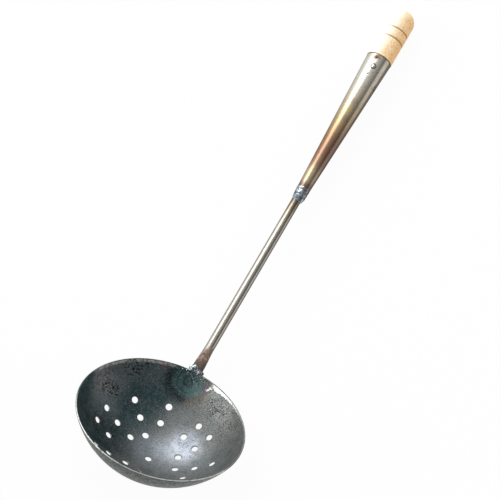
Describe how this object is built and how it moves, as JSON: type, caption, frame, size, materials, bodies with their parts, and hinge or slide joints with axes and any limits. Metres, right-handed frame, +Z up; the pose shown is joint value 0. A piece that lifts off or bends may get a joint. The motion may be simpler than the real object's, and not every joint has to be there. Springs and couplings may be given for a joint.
{
  "type": "slotted ladle",
  "caption": "Deep round ladle of pressed steel with round drain holes, on a steel rod with a conical socket and a turned wooden grip; lies on its bowl and grip.",
  "frame": {"origin": "on the table, under the middle of the ladle's length", "axes": "+X from the bowl towards the grip, +Z up from the table, +Y to the left of someone who looks from the bowl towards the grip"},
  "size_m": [0.4648, 0.13, 0.075],
  "materials": {
    "bowl_steel": "dark oiled oxide with worn patches",
    "rod_steel": "satin, lightly tarnished",
    "weld_metal": "glossy blue-grey weld scale",
    "socket_steel": "satin with straw, bronze and purple heat colours",
    "turned_wood": "smooth sanded pale wood",
    "nail_steel": "bright"
  },
  "bodies": {
    "root": {"bowl": "bowl_steel", "shaft": "rod_steel", "bowl_weld": "weld_metal", "socket": "socket_steel", "socket_weld": "weld_metal", "grip": "turned_wood", "nail": "nail_steel"}
  },
  "joints": []
}
